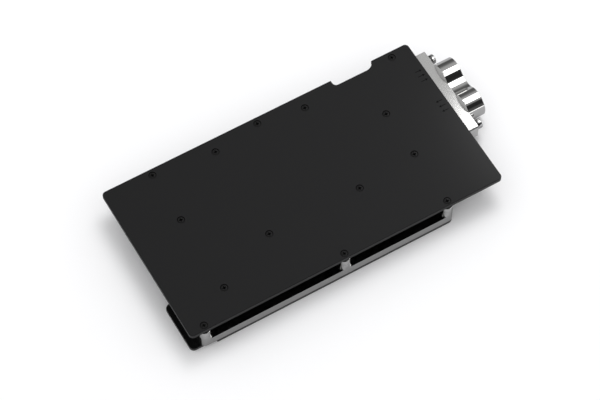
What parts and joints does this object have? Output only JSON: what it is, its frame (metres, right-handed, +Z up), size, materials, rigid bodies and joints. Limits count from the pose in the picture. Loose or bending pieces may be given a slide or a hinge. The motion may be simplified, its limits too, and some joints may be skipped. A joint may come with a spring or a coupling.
{
  "type": "liquid cooling cold plate",
  "caption": "Card-sized liquid cooling block: nickel cold plate between a black back plate and cover, with threaded coolant ports at one end.",
  "frame": {"origin": "middle of the whole part's outline, on the rest face under the cover", "axes": "+X along the card towards the coolant ports, +Y across the card towards the edge with the notch, +Z up through the cover, the cold plate and the back plate"},
  "size_m": [0.2624, 0.1256, 0.0244],
  "materials": {
    "black_anodised": "satin",
    "black_screw": "satin",
    "nickel": "bright, satin on the flange",
    "black_acetal": "matt",
    "stainless": "bright",
    "seal_rubber": "matt",
    "thermal_pad": "matt"
  },
  "bodies": {
    "root": {"back_plate": "black_anodised", "back_plate_screws": "black_screw", "back_pad_left": "thermal_pad", "back_pad_middle": "thermal_pad", "back_pad_right": "thermal_pad", "cold_plate": "nickel", "memory_pad_left": "thermal_pad", "memory_pad_right": "thermal_pad", "memory_pad_near": "thermal_pad", "memory_pad_far": "thermal_pad", "stage_pad_left": "thermal_pad", "stage_pad_right": "thermal_pad", "inductor_pad_left": "thermal_pad", "inductor_pad_right": "thermal_pad", "jet_plate": "stainless", "main_seal": "seal_rubber", "cover": "black_acetal", "cover_screws": "stainless", "terminal_block": "nickel", "port_seals": "seal_rubber", "terminal_screws": "stainless", "terminal_washers": "stainless"}
  },
  "joints": []
}
